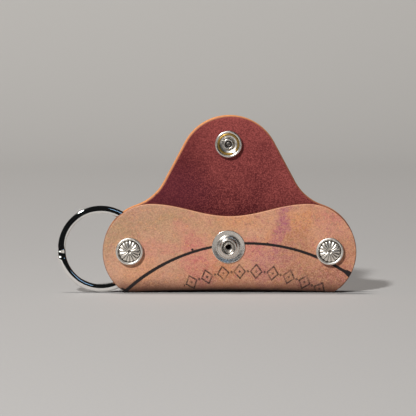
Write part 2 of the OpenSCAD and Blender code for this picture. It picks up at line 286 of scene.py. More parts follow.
def piece_border(chains):
    """A piece's border, anticlockwise. A chain is a list of loop points along a cut edge, or the
    level of a flat seam across to the next chain. Seam points are of kind None."""
    border, kinds = [], []
    for k, chain in enumerate(chains):
        if isinstance(chain, list):
            border += [loop_point(i, BEVEL_W, True) for i in chain]
            kinds += chain
            continue
        x0 = border[-1][0]
        x1 = loop_point(chains[(k + 1) % len(chains)][0], BEVEL_W, True)[0]
        steps = max(2, round(abs(x1 - x0) / GRID_X))
        border += [(x0 + (x1 - x0) * i / steps, chain) for i in range(1, steps)]
        kinds += [None] * (steps - 1)
    return border, kinds


def fill_points(border, holes):
    """Rows of points inside the border, every other row set off by half a step."""
    xs, us = [p[0] for p in border], [p[1] for p in border]
    points, u, row = [], min(us), 0
    while u < max(us):
        x = min(xs) + (GRID_X / 2 if row % 2 else 0)
        while x < max(xs):
            if inside((x, u), border) and clear_of((x, u), border, BORDER_GAP) and all(
                    math.hypot(x - cx, u - cu) > r + HOLE_GAP for cx, cu, r in holes):
                points.append((x, u))
            x += GRID_X
        u += GRID_BEND if abs(u) < BEND_LEN + 1 else GRID_U
        row += 1
    return points


class Skin:
    """The points and faces of a leather piece, with what its materials read."""

    def __init__(self):
        self.verts, self.sheet, self.rims = [], [], []
        self.faces, self.slots = [], []

    def point(self, x, u, n, rim=0.0):
        self.verts.append(sheet_point(x, u, n))
        self.sheet.append((x, u, n))
        self.rims.append((rim, rim, rim))
        return len(self.verts) - 1

    def face(self, corners, slot):
        self.faces.append(tuple(corners))
        self.slots.append(slot)


def leather_piece(name, chains, holes=()):
    """One closed piece of the sheet, within the border that its chains make."""
    border, kinds = piece_border(chains)
    count = len(border)
    points = [Vector(p) for p in border + fill_points(border, holes)]
    edges = [(i, (i + 1) % count) for i in range(count)]
    rims = []
    for cx, cu, r in holes:
        rim = [len(points) + i for i in range(HOLE_SIDES)]
        for i in range(HOLE_SIDES):
            a = 2 * math.pi * i / HOLE_SIDES
            points.append(Vector((cx + r * math.cos(a), cu + r * math.sin(a))))
        edges += [(rim[i], rim[(i + 1) % HOLE_SIDES]) for i in range(HOLE_SIDES)]
        rims.append(rim)
    flat, _, tris, origin, _, _ = delaunay_2d_cdt(points, edges, [], 1, 1e-6)
    where = {}
    for i, sources in enumerate(origin):
        for source in sources:
            where.setdefault(source, i)

    # the two faces
    skin = Skin()
    outer = [skin.point(p[0], p[1], 0.0) for p in flat]
    inner = [skin.point(p[0], p[1], LEATHER_T) for p in flat]
    for a, b, c in tris:
        (ax, au), (bx, bu), (cx, cu) = flat[a], flat[b], flat[c]
        mx, mu = (ax + bx + cx) / 3, (au + bu + cu) / 3
        if any(math.hypot(mx - hx, mu - hu) < r for hx, hu, r in holes):
            continue
        if (bx - ax) * (cu - au) - (bu - au) * (cx - ax) < 0:
            b, c = c, b
        skin.face((outer[a], outer[c], outer[b]), OUTSIDE)
        skin.face((inner[a], inner[b], inner[c]), INSIDE)

    # the walls of the holes, then the cut edge and the flat seams
    for rim in rims:
        for i in range(HOLE_SIDES):
            a, b = where[rim[i]], where[rim[(i + 1) % HOLE_SIDES]]
            skin.face((outer[a], outer[b], inner[b], inner[a]), CUT)
    columns = []
    for j, kind in enumerate(kinds):
        column = [outer[where[j]]]
        if kind is not None:
            for inset, depth in ROWS[1:-1]:
                x, u = loop_point(kind, inset, depth > LEATHER_T / 2)
                column.append(skin.point(x, u, depth, 1.0 if inset < EDGE_ROUND else 0.0))
        columns.append(column + [inner[where[j]]])
    sharp = set()
    for j in range(count):
        after = (j + 1) % count
        if kinds[j] is None:
            continue
        if kinds[after] is not None:
            for r in range(len(ROWS) - 1):
                skin.face((columns[j][r], columns[after][r],
                           columns[after][r + 1], columns[j][r + 1]),
                          OUTSIDE if r < OUTSIDE_ROWS else CUT)
            continue
        seam = [j]
        while kinds[after] is None:
            seam.append(after)
            after = (after + 1) % count
        seam.append(after)
        ring = [columns[s][0] for s in seam] + columns[after][1:-1]
        ring += [columns[s][-1] for s in reversed(seam)] + columns[j][-2:0:-1]
        skin.face(ring, CUT)
        sharp.update(frozenset((ring[i - 1], ring[i])) for i in range(len(ring)))

    obj = mesh_object(name, skin.verts, skin.faces, LEATHERS)
    obj.data.polygons.foreach_set("material_index", skin.slots)
    mark_sharp(obj, lambda a, b: frozenset((a, b)) in sharp)
    add_vectors(obj, "place", skin.verts)
    add_vectors(obj, "sheet", skin.sheet)
    add_vectors(obj, "rim", skin.rims)
    return obj


# Materials

def linear(*rgb):
    """A shader colour from 0 to 255 values as they are seen."""
    return tuple(c / 255 / 12.92 if c / 255 <= 0.04045 else ((c / 255 + 0.055) / 1.055) ** 2.4
                 for c in rgb) + (1.0,)


class Nodes:
    """Short calls to build one material's nodes."""

    def __init__(self, name):
        self.mat = bpy.data.materials.new(name)
        self.mat.use_nodes = True
        self.tree = self.mat.node_tree
        self.tree.nodes.clear()
        self.shader = self.new("BsdfPrincipled")
        self.link(self.shader.outputs[0], self.new("OutputMaterial").inputs["Surface"])

    def new(self, kind):
        return self.tree.nodes.new("ShaderNode" + kind)

    def link(self, a, b):
        self.tree.links.new(a, b)

    def put(self, socket, value):
        if isinstance(value, bpy.types.NodeSocket):
            self.link(value, socket)
        else:
            socket.default_value = value

    def set(self, key, value):
        self.put(self.shader.inputs[key], value)

    def attribute(self, name):
        n = self.new("Attribute")
        n.attribute_name = name
        return n.outputs["Vector"]

    def object_place(self):
        return self.new("TexCoord").outputs["Object"]

    def split(self, vector):
        n = self.new("SeparateXYZ")
        self.put(n.inputs[0], vector)
        return n.outputs[0], n.outputs[1], n.outputs[2]

    def join(self, x, y, z):
        n = self.new("CombineXYZ")
        for i, v in enumerate((x, y, z)):
            self.put(n.inputs[i], v)
        return n.outputs[0]

    def math(self, op, a, b=None, clamp=False):
        n = self.new("Math")
        n.operation, n.use_clamp = op, clamp
        self.put(n.inputs[0], a)
        if b is not None:
            self.put(n.inputs[1], b)
        return n.outputs[0]

    def add(self, a, b):
        return self.math("ADD", a, b)

    def sub(self, a, b):
        return self.math("SUBTRACT", a, b)

    def mul(self, a, b):
        return self.math("MULTIPLY", a, b)

    def div(self, a, b):
        return self.math("DIVIDE", a, b)

    def most(self, a, b):
        return self.math("MAXIMUM", a, b)

    def size(self, a):
        return self.math("ABSOLUTE", a)

    def gap(self, a, b):
        return self.size(self.sub(a, b))

    def length(self, a, b):
        return self.math("SQRT", self.add(self.mul(a, a), self.mul(b, b)))

    def wander(self, value, noise_value, reach):
        """The value, moved up and down by noise that lies between 0 and 1."""
        return self.add(value, self.mul(self.sub(noise_value, 0.5), reach))

    def shift(self, vector, by):
        n = self.new("VectorMath")
        n.operation = "ADD"
        self.put(n.inputs[0], vector)
        self.put(n.inputs[1], by)
        return n.outputs[0]

    def scale(self, vector, factor):
        n = self.new("VectorMath")
        n.operation = "SCALE"
        self.put(n.inputs[0], vector)
        self.put(n.inputs["Scale"], factor)
        return n.outputs[0]

    def noise(self, vector, scale, detail, rough):
        n = self.new("TexNoise")
        for key, v in (("Vector", vector), ("Scale", scale), ("Detail", detail),
                       ("Roughness", rough)):
            self.put(n.inputs[key], v)
        return n.outputs[0]

    def cells(self, vector, scale):
        n = self.new("TexVoronoi")
        self.put(n.inputs["Vector"], vector)
        self.put(n.inputs["Scale"], scale)
        return n.outputs["Distance"]

    def ramp(self, value, low, high, to_low=0.0, to_high=1.0):
        n = self.new("MapRange")
        n.interpolation_type = "SMOOTHSTEP"
        for key, v in (("Value", value), ("From Min", low), ("From Max", high),
                       ("To Min", to_low), ("To Max", to_high)):
            self.put(n.inputs[key], v)
        return n.outputs["Result"]

    def mix(self, share, a, b):
        n = self.new("Mix")
        n.data_type = "RGBA"
        self.put(n.inputs["Factor"], share)
        self.put(n.inputs[6], a)  # the colour sockets, by number as their names repeat
        self.put(n.inputs[7], b)
        return n.outputs[2]

    def paint(self, colour, share, rgb):
        return self.mix(share, colour, linear(*rgb))

    def blob(self, x, z, cx, cz, rx, rz, soft=0.6):
        """A soft ellipse, 1 in its middle and 0 outside."""
        r = self.length(self.div(self.sub(x, cx), rx), self.div(self.sub(z, cz), rz))
        return self.ramp(r, 1 - soft, 1 + soft, 1.0, 0.0)

    def finish(self, colour, rough, relief, strength, depth_mm):
        self.set("Base Color", colour)
        self.set("Roughness", rough)
        n = self.new("Bump")
        for key, v in (("Strength", strength), ("Distance", depth_mm * MM), ("Height", relief)):
            self.put(n.inputs[key], v)
        self.set("Normal", n.outputs[0])
        return self.mat


# The front panel's tints, as colour, strength and spots (x, z, half width, half height). The
# plum is also the colour of the slanting band.
OLIVE, ROSE, PLUM, OCHRE = (164, 142, 100), (204, 106, 108), (168, 84, 114), (220, 146, 84)
SAND, TAWNY, UMBER = (214, 164, 134), (150, 92, 62), (122, 78, 60)
TINTS = (
    (OLIVE, 0.75, ((-23, 25.5, 11, 6.5), (-41, 21, 7, 8), (-4, 24, 5, 4))),
    (ROSE, 0.85, ((-11, 10, 6, 6), (-14, 19, 4, 4), (40, 9, 4, 5), (-27, 17, 6, 3),
                  (-33, 14, 4, 4), (-18, 24.5, 3, 3), (8, 17, 5, 4), (38, 26, 5, 5))),
    (PLUM, 0.75, ((11.5, 10, 2.2, 6.5), (21, 13.5, 3, 3), (-9, 4.5, 4, 2.5), (30, 3.5, 5, 2.5))),
    (OCHRE, 0.75, ((-34, 8, 7, 5), (3, 26, 7, 4), (27, 26, 6, 5), (-2, 9, 4, 6), (18, 21, 4, 4))),
    (SAND, 0.6, ((-38, 11, 9, 7), (-28, 19, 6, 6), (8, 21, 4, 3), (-19, 24, 5, 3),
                 (3, 24, 7, 3), (37, 24, 6, 4))),
    (TAWNY, 0.64, ((29, 12, 12, 7), (43, 13, 5, 8), (2, 5.5, 24, 4.5), (25, 21, 5, 4))),
    (UMBER, 0.8, ((33, 4.5, 13, 5), (-31, 1.5, 9, 3.5))))
STAIN_WARP = 11.0  # how far noise moves the spots' outlines
BAND_X, BAND_LEAN = 12.6, -0.26

# The inked stripe is an arc round (INK_X, INK_Z). The row of lozenges lies inside it.
INK_X, INK_Z, INK_R = 6.9, -48.71, 67.4
FOOT_X, FOOT_Z = -39.2, 1.1
SPECKS = ((-13.9, 16.35), (14.2, 18.6))
ROW_R, ROW_STEP, ROW_MIDDLE, ROW_HALF = 56.9, 6.2, 3.0, 27.8
ROW_MM = 57.0  # millimetres of the row for each radian
LOZENGE_W, LOZENGE_H = 2.35, 2.85


def stains(m, colour, sheet, x, z, mid, front):
    warp = m.noise(sheet, 0.17, 4, 0.65)
    warp2 = m.noise(m.shift(sheet, (31.0, 7.0, 0.0)), 0.17, 4, 0.65)
    wx, wz = m.wander(x, warp, STAIN_WARP), m.wander(z, warp2, STAIN_WARP)
    spotted = m.ramp(mid, 0.34, 0.6, 0.4, 1.0)
    for tint, strength, spots in TINTS:
        for cx, cz, rx, rz in spots:
            spot = m.mul(m.blob(wx, wz, cx, cz, rx, rz), m.mul(spotted, strength))
            colour = m.paint(colour, m.mul(spot, front), tint)
    lean = m.add(wx, m.mul(wz, BAND_LEAN))
    band = m.ramp(m.gap(lean, BAND_X), 0.9, 3.6, 1.0, 0.0)
    band = m.mul(band, m.ramp(z, 4.0, 24.0, 0.25, 1.0))
    band = m.mul(band, m.ramp(mid, 0.34, 0.6, 0.6, 1.0))
    return m.paint(colour, m.mul(band, front), PLUM)


def ink(m, sheet, x, z):
    """How much ink lies at a point of the front panel."""
    rough = m.noise(sheet, 1.7, 4, 0.75)
    dx, dz = m.sub(x, INK_X), m.sub(z, INK_Z)
    radius = m.length(dx, dz)

    # the stripe with a ragged edge, thicker towards its ends, most of all at the right
    thicker = m.add(m.ramp(x, 42.6, 45.2, 0.0, 0.6), m.ramp(x, 18.0, 42.0, 0.0, 0.06))
    thicker = m.add(thicker, m.ramp(x, -38.0, -10.0, 0.15, 0.0))
    off = m.sub(m.gap(m.wander(radius, rough, 0.5), INK_R), thicker)
    stripe = m.mul(m.ramp(off, 0.4, 0.6, 1.0, 0.0), m.ramp(rough, 0.24, 0.42, 0.88, 1.0))

    # a short crossbar at its left foot
    fx, fz = m.sub(x, FOOT_X), m.sub(z, FOOT_Z)
    along = m.add(m.mul(fx, 0.92), m.mul(fz, -0.4))
    across = m.add(m.mul(fx, 0.4), m.mul(fz, 0.92))
    foot = m.mul(m.math("LESS_THAN", m.size(along), 1.5),
                 m.ramp(m.size(across), 0.35, 0.55, 1.0, 0.0))
    stripe = m.most(stripe, m.mul(foot, 0.9))

    # lozenges with a dot in each and a smaller dot between them, worn unevenly
    along = m.mul(m.math("ARCTAN2", dx, dz), ROW_MM)
    cell = m.mul(m.size(m.sub(m.math("FRACT", m.div(along, ROW_STEP)), 0.5)), ROW_STEP)
    high = m.gap(radius, ROW_R)
    shape = m.add(m.div(cell, LOZENGE_W), m.div(high, LOZENGE_H))
    line = m.ramp(m.gap(shape, 0.9), 0.12, 0.2, 1.0, 0.0)
    dot = m.add(m.div(m.sub(ROW_STEP / 2, cell), 0.5), m.div(high, 0.6))
    line = m.most(line, m.ramp(dot, 0.9, 1.3, 1.0, 0.0))
    line = m.most(line, m.ramp(shape, 0.17, 0.28, 1.0, 0.0))
    line = m.mul(line, m.math("LESS_THAN", m.gap(along, ROW_MIDDLE), ROW_HALF))
    line = m.mul(line, m.ramp(rough, 0.36, 0.54, 0.3, 0.95))
    line = m.mul(line, m.ramp(m.noise(sheet, 0.3, 2, 0.5), 0.3, 0.6, 0.5, 1.0))

    for cx, cz in SPECKS:
        stripe = m.most(stripe, m.blob(x, z, cx, cz, 0.5, 0.45, 0.3))
    return m.most(stripe, line)


def leather_outside():
    m = Nodes("leather_tan")
    sheet = m.attribute("sheet")
    x, y, z = m.split(m.attribute("place"))
    rim = m.split(m.attribute("rim"))[0]
    front = m.math("LESS_THAN", y, 0.5)
    broad = m.noise(sheet, 0.07, 4, 0.62)
    mid = m.noise(sheet, 0.42, 5, 0.7)
    fine = m.noise(sheet, 1.5, 3, 0.7)
    grain = m.noise(m.shift(sheet, (3.0, 9.0, 1.0)), 2.6, 2, 0.6)

    def flecks(k, scale, detail, rough, low, high, share):
        place = m.shift(sheet, (9.0 * k, 4.0 * k, 2.0 * k))
        return m.mul(m.ramp(m.noise(place, scale, detail, rough), low, high), share)

    colour = m.mix(m.ramp(x, -44.0, -4.0), linear(186, 148, 126), linear(212, 155, 124))
    colour = m.paint(colour, m.ramp(x, 6.0, 40.0), (212, 150, 118))
    colour = m.paint(colour, m.mul(m.ramp(broad, 0.42, 0.68), 0.4), (196, 134, 112))
    colour = stains(m, colour, sheet, x, z, mid, front)
    pink = m.mul(flecks(1, 0.7, 6, 0.8, 0.52, 0.62, 0.75), m.ramp(x, -30.0, 10.0, 0.5, 1.0))
    colour = m.paint(colour, pink, (178, 96, 104))
    colour = m.paint(colour, flecks(3, 0.5, 6, 0.8, 0.52, 0.63, 0.7), (160, 130, 92))
    colour = m.paint(colour, flecks(5, 0.6, 6, 0.8, 0.52, 0.64, 0.7), (226, 158, 106))
    colour = m.paint(colour, m.ramp(fine, 0.4, 0.6, 0.0, 0.38), (152, 96, 76))
    colour = m.paint(colour, m.ramp(grain, 0.42, 0.6, 0.0, 0.34), (236, 184, 150))
    colour = m.paint(colour, flecks(7, 1.1, 4, 0.75, 0.63, 0.71, 0.65), (124, 66, 64))

    # painted shade: darker towards the floor where the panel turns under, and darkest on the folded
    # underside
    low = m.mul(m.ramp(z, 1.0, 6.2, 0.85, 0.0), front)
    colour = m.paint(colour, m.mul(low, m.ramp(mid, 0.3, 0.6, 1.0, 0.75)), (84, 48, 36))
    under = m.size(m.split(sheet)[1])
    colour = m.paint(colour, m.ramp(under, 1.9, 3.3, 0.85, 0.0), (34, 20, 16))
    colour = m.paint(colour, m.mul(ink(m, sheet, x, z), front), (30, 24, 25))

    # the cut rim carries painted shade down the sides and a painted highlight along the top, where
    # light falls from above
    painted_top_light = m.mul(m.ramp(z, 24.0, 28.0), m.ramp(m.size(x), 36.0, 42.0, 1.0, 0.0))
    edge = m.mix(painted_top_light, linear(104, 62, 44), linear(222, 168, 136))
    colour = m.mix(m.mul(rim, 0.85), colour, edge)

    m.set("Specular IOR Level", 0.3)
    rough = m.add(m.ramp(mid, 0.3, 0.7, 0.46, 0.6), m.mul(fine, 0.12))
    relief = m.add(m.mul(m.cells(sheet, 2.6), 0.5), m.mul(m.noise(sheet, 5.5, 3, 0.65), 0.7))
    relief = m.add(relief, m.mul(mid, 0.8))
    relief = m.add(relief, m.mul(fine, 0.5))
    return m.finish(colour, rough, relief, 0.4, 0.12)


def leather_inside():
    m = Nodes("leather_burgundy")
    sheet = m.attribute("sheet")
    x, u, _ = m.split(sheet)
    wx = m.wander(x, m.noise(sheet, 0.11, 3, 0.6), 12.0)
    nap = m.noise(sheet, 2.3, 2, 0.65)
    fleck = m.noise(m.shift(sheet, (9.0, 2.0, 4.0)), 1.25, 4, 0.75)

    # painted light and shade over random tone: redder and lighter up the flap and at the right,
    # darker and plum at the lower left
    tone_and_painted_light = m.math("MULTIPLY", m.sub(u, 30.0), 0.021, clamp=True)
    tone_and_painted_light = m.wander(tone_and_painted_light, m.noise(sheet, 0.14, 4, 0.65), 0.9)
    tone_and_painted_light = m.add(tone_and_painted_light, m.mul(m.blob(wx, u, 25.0, 38.0, 9.0, 10.0, 0.8), 0.35))
    left = m.mul(m.ramp(wx, -20.0, -2.0, 1.0, 0.0), 0.42)
    tone_and_painted_light = m.math("SUBTRACT", tone_and_painted_light, left, clamp=True)
    colour = m.mix(tone_and_painted_light, linear(88, 28, 33), linear(160, 77, 73))
    # painted shade, plum, at the lower left
    plum = m.mul(m.blob(wx, u, -24.0, 38.0, 14.0, 12.0, 0.7), 0.7)
    colour = m.paint(colour, plum, (102, 40, 52))

    strong = m.ramp(x, -22.0, 0.0, 0.45, 1.0)
    raised = m.mul(m.ramp(nap, 0.46, 0.64, 0.0, 0.45), strong)
    sunk = m.mul(m.ramp(nap, 0.36, 0.52, 0.4, 0.0), strong)
    colour = m.paint(colour, raised, (186, 98, 92))
    colour = m.paint(colour, sunk, (60, 14, 20))
    colour = m.paint(colour, m.ramp(fleck, 0.36, 0.5, 0.3, 0.0), (74, 24, 30))
    m.set("Specular IOR Level", 0.15)
    m.set("Sheen Weight", 0.08)
    m.set("Sheen Roughness", 0.5)
    relief = m.add(nap, m.mul(fleck, 0.7))
    return m.finish(colour, m.ramp(nap, 0.3, 0.7, 0.78, 0.95), relief, 0.6, 0.2)


def leather_edge():
    m = Nodes("leather_cut_edge")
    x, u, n = m.split(m.attribute("sheet"))
    layers = m.join(m.mul(x, 0.5), m.mul(u, 0.5), m.mul(n, 3.0))
    along = m.noise(layers, 1.6, 5, 0.75)
    colour = m.mix(m.ramp(along, 0.32, 0.7), linear(188, 116, 68), linear(226, 154, 94))
    # painted shade towards the right, away from the light; then darker lower down, and plum-brown
    # by the inner face
    colour = m.paint(colour, m.ramp(x, 8.0, 20.0, 0.0, 0.7), (140, 84, 56))
    colour = m.paint(colour, m.ramp(u, 24.0, 34.0, 0.8, 0.0), (122, 76, 54))
    colour = m.paint(colour, m.ramp(n, 1.42, 1.6, 0.0, 0.8), (128, 62, 54))
    return m.finish(colour, m.ramp(along, 0.3, 0.7, 0.5, 0.8), along, 0.5, 0.15)


def metal(name, colour, rough, wear, scratch=0.2, tint=None):
    """Plated metal with fine scratches, smudges and a little wear. The groove attribute, where
    a piece has it, paints shade into what lies deep."""
    m = Nodes(name)
    p = m.scale(m.object_place(), 1 / MM)
    px, py, pz = m.split(p)
    depth = m.split(m.attribute("groove"))[0]
    smudge = m.noise(p, 0.7, 4, 0.65)
    hair = m.noise(m.join(m.mul(px, 9.0), m.mul(py, 2.0), m.mul(pz, 1.2)), 1.3, 3, 0.7)
    worn = m.mul(m.ramp(smudge, 0.45, 0.7), wear)
    base = m.mix(worn, linear(*colour), linear(*(tint or [c * 0.8 for c in colour])))
    # painted shade in the hollows, from the groove attribute
    base = m.paint(base, m.mul(depth, 0.9), (48, 40, 36))
    m.set("Metallic", 1.0)
    dull = m.add(m.ramp(smudge, 0.3, 0.75, rough * 0.8, rough * 1.4), m.mul(hair, rough * 0.3))
    dull = m.add(dull, m.mul(depth, 0.3))
    return m.finish(base, dull, m.add(m.mul(hair, 0.4), smudge), scratch, 0.01)


LEATHERS = (leather_outside(), leather_inside(), leather_edge())  # by material slot
NICKEL = metal("nickel_plate", (234, 228, 220), 0.22, 0.3, 0.12)
CONCHO = metal("concho_silver", (250, 244, 234), 0.25, 0.3, 0.12, (218, 208, 194))
SATIN = metal("satin_nickel", (244, 240, 233), 0.26, 0.3, 0.12)
RIM = metal("concho_rim", (240, 236, 229), 0.33, 0.3, 0.12, (218, 212, 203))
BRASS = metal("brass", (186, 152, 84), 0.34, 0.4, tint=(140, 110, 58))
CHROME = metal("ring_chrome", (248, 246, 243), 0.03, 0.25, 0.05)

# The leather's pieces
cut_right = {k: i for i, (x, _, k) in enumerate(LOOP) if k is not None and x > 0}
cut_left = {k: i for i, (x, _, k) in enumerate(LOOP) if k is not None and x < 0}
body_chain = list(range(cut_left[0], len(LOOP))) + list(range(0, cut_right[0] + 1))
post_u = height_to_u(CONCHO_X, CONCHO_Z)
body_holes = [(side * CONCHO_X, face * post_u, POST_HOLE_R) for side in (-1, 1) for face in (-1, 1)]
body_holes.append((SNAP_X, -height_to_u(SNAP_X, STUD_Z), STUD_HOLE_R))
leather_body = leather_piece("leather_body", [body_chain, CUT_US[0]], body_holes)
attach(leather_body, "case")
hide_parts("leather_case")
for k in range(3):
    right = list(range(cut_right[k], cut_right[k + 1] + 1))
    left = list(range(cut_left[k + 1], cut_left[k] + 1))
    bend_piece = leather_piece(f"leather_bend_{k + 1}", [right, CUT_US[k + 1], left, CUT_US[k]])
    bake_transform(bend_piece)
    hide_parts(f"fold_strip_{k + 1}")
flap_chain = list(range(cut_right[3], cut_left[3] + 1))
flap = leather_piece("leather_flap_skin", [flap_chain, CUT_US[3]],
                     [(SNAP_X, height_to_u(SNAP_X, SOCKET_Z), SOCKET_HOLE_R)])
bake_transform(flap)
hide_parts("leather_flap")

# Metal pieces kept from model.glb
for node in ("snap_cap", "left_post", "right_post", "left_back_screw", "right_back_screw"):
    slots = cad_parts[node].data.materials
    slots.clear()
    slots.append(NICKEL)


# Turned metal pieces. A profile holds (radius, height towards the front, painted shade).
TURN_STEPS = 96


def roll(cr, ch, r, a0, a1, steps=10):
    """A rolled edge of a profile."""
    return [(pr, ph, 0.0) for pr, ph in arc(cr, ch, r, a0, a1, steps)]


def run(r0, h0, r1, h1, steps=4, g0=0.0, g1=0.0):
    """A straight stretch of a profile."""
    return [(r0 + (r1 - r0) * i / steps, h0 + (h1 - h0) * i / steps, g0 + (g1 - g0) * i / steps)
            for i in range(steps + 1)]


def weld(obj):
    """Joins the points on a turned piece's axis into one at each end."""
    bm = bmesh.new()
    bm.from_mesh(obj.data)
    bmesh.ops.remove_doubles(bm, verts=bm.verts, dist=1e-7)
    bm.to_mesh(obj.data)
    bm.free()


def turned(name, node, body, material, profile, cx, cz, face_y,
           ring=True, start=0.0, turn=360.0):
    """A turned piece in place of a node. The profile is closed for a ring, and otherwise runs
    from the axis to the axis. A ring that doesn't go all the way round has flat ends."""
    full = turn == 360.0
    verts, painted_shade, faces = [], [], []
    count = len(profile)
    around = TURN_STEPS if full else TURN_STEPS + 1
    for i in range(around):
        a = math.radians(start + turn * i / TURN_STEPS)
        for r, h, g in profile:
            verts.append((cx + r * math.cos(a), face_y - h, cz + r * math.sin(a)))
            painted_shade.append((g, g, g))
    for i in range(TURN_STEPS):
        k = (i + 1) % around
        for j in range(count if ring else count - 1):
            n = (j + 1) % count
            faces.append((i * count + j, i * count + n, k * count + n, k * count + j))
    if not full:
        faces.append(tuple(reversed(range(count))))
        faces.append(tuple(TURN_STEPS * count + j for j in range(count)))
    obj = mesh_object(name, verts, faces, [material])
    add_vectors(obj, "groove", painted_shade)
    if not ring:
        weld(obj)
    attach(obj, body)
    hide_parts(node)


# The stud: a slightly dished flange, a step, a neck and a rolled head round the eyelet
# painted shade under the step and inside the head round the hole
stud = run(1.62, 0.02, 6.0, 0.02) + roll(6.06, 0.2, 0.17, -70, 75, 6)
stud += run(5.95, 0.36, 4.5, 0.16) + [(4.3, 0.2, 0.35)] + roll(3.85, 0.5, 0.3, -10, 90, 6)
stud += run(3.7, 0.8, 3.35, 0.84, 2) + [(3.16, 0.92, 0.15), (3.12, 1.2, 0.0)]
stud += roll(2.78, 1.62, 0.37, -25, 180, 12)
stud += [(2.4, 1.3, 0.25), (2.36, 0.9, 0.5), (2.1, 0.7, 0.6), (1.62, 0.66, 0.6)]
turned("stud_turned", "snap_stud", "case", NICKEL, stud,
       SNAP_X, STUD_Z, -OUTER_Y)

# painted shade darkens the eyelet's barrel and its lip round the hole
eyelet = run(0.97, -2.0, 0.97, 0.3, 6, 1.0, 0.85) + [(1.02, 0.6, 0.5), (1.2, 0.8, 0.12)]
eyelet += roll(1.62, 0.78, 0.3, 150, -40) + [(1.72, 0.5, 0.3), (1.57, 0.3, 0.5)]
eyelet += run(1.57, 0.1, 1.57, -1.62, 3) + [(3.0, -1.64, 0.0)]
eyelet += roll(3.05, -1.79, 0.15, 80, -80, 4) + [(3.0, -1.95, 0.0)]
turned("eyelet_turned", "snap_eyelet", "case", NICKEL, eyelet,
       SNAP_X, STUD_Z, -OUTER_Y)

# The socket: a rolled cup with the ring spring inside and a rolled-over post in the middle
# painted shade under the cup's roll and towards the hole in its middle
socket = run(1.7, 0.03, 4.7, 0.03) + roll(4.68, 0.32, 0.4, -80, -10, 5)
socket += roll(4.58, 1.13, 0.51, 0, 180, 16)
socket += [(4.06, 0.85, 0.6), (4.2, 0.7, 0.85), (4.0, 0.68, 0.7)]
socket += run(3.75, 0.66, 2.35, 0.15, 5, 0.1) + run(2.2, 0.13, 1.7, 0.13, 2, 0.5, 0.8)
turned("socket_turned", "snap_socket", "flap", SATIN, socket,
       SNAP_X, SOCKET_Z, INNER_Y)

spring = roll(3.68, 0.9, 0.45, 0, 342, 19)
turned("spring_turned", "snap_ring_spring", "flap", BRASS, spring,
       SNAP_X, SOCKET_Z, INNER_Y, start=-42, turn=336)

# painted shade fills the post's hollow middle
post = [(0.0, 0.5, 1.0), (0.3, 0.49, 0.97), (0.6, 0.42, 0.85), (0.85, 0.28, 0.7),
        (1.0, 0.1, 0.9), (1.05, -0.1, 1.0), (1.2, -0.1, 1.0), (1.22, 0.35, 0.95),
        (1.26, 0.62, 0.4)]
post += roll(1.68, 0.72, 0.41, 165, -10, 12)
post += [(1.98, 0.5, 0.3), (1.72, 0.34, 0.6), (1.6, 0.2, 0.6), (1.6, -1.6, 0.0),
         (5.3, -1.62, 0.0), (5.3, -1.94, 0.0), (0.0, -1.94, 0.0)]
turned("cap_post_turned", "snap_cap_post", "flap", NICKEL, post,
       SNAP_X, SOCKET_Z, INNER_Y, ring=False)

# The conchos: a rolled cup and a low crown of petals round a dimple
# painted shade inside the cup round the crown
cup = run(2.05, 0.02, 4.7, 0.02) + roll(4.78, 0.3, 0.28, -80, -20, 4)
cup += roll(4.66, 1.04, 0.52, -5, 185, 18)
cup += [(4.13, 0.8, 0.6), (4.13, 0.45, 1.0), (4.0, 0.36, 1.0), (2.05, 0.36, 1.0)]
PETALS, PETAL_STEPS, ROSETTE_RINGS = 16, 12, 32
ROSETTE_R, ROSETTE_FOOT, ROSETTE_BASE, ROSETTE_TOP = 3.98, 0.36, 0.55, 1.88
DIMPLE, DIMPLE_FLOOR = 0.5, 0.42  # its depth, and how far its middle point lies below the top


def rosette_relief(s, in_petal):
    """The height and painted shade at a share s of the radius; in_petal is 0 on a petal's ridge
    and 1 in the groove beside it."""
    across = max(0.0, in_petal - 0.08) / 0.92
    crown = math.sqrt(max(0.0, 1 - (max(0.0, s - 0.3) / 0.86) ** 2))
    petal = smooth(0.17, 0.3, s)
    height = ROSETTE_BASE + (ROSETTE_TOP - ROSETTE_BASE) * (0.15 + 0.85 * crown)
    height -= petal * (0.06 + 0.24 * s) * across ** 1.9
    height -= DIMPLE * (1 - smooth(0.09, 0.19, s))
    height += 0.07 * petal * (1 - across ** 2) * math.sin(math.pi * min(1.0, s))
    height -= 0.4 * smooth(0.93, 1.0, s)
    # painted shade in the grooves between petals, in the dimple and round the rim
    painted_shade = petal * smooth(0.5, 0.95, in_petal) * (0.95 - 0.15 * s)
    painted_shade += 0.95 * (1 - smooth(0.07, 0.17, s)) + 0.75 * smooth(0.95, 0.99, s)
    scallop = 1 - 0.008 * across ** 2 * smooth(0.85, 1.0, s)
    return height, min(1.0, painted_shade), scallop


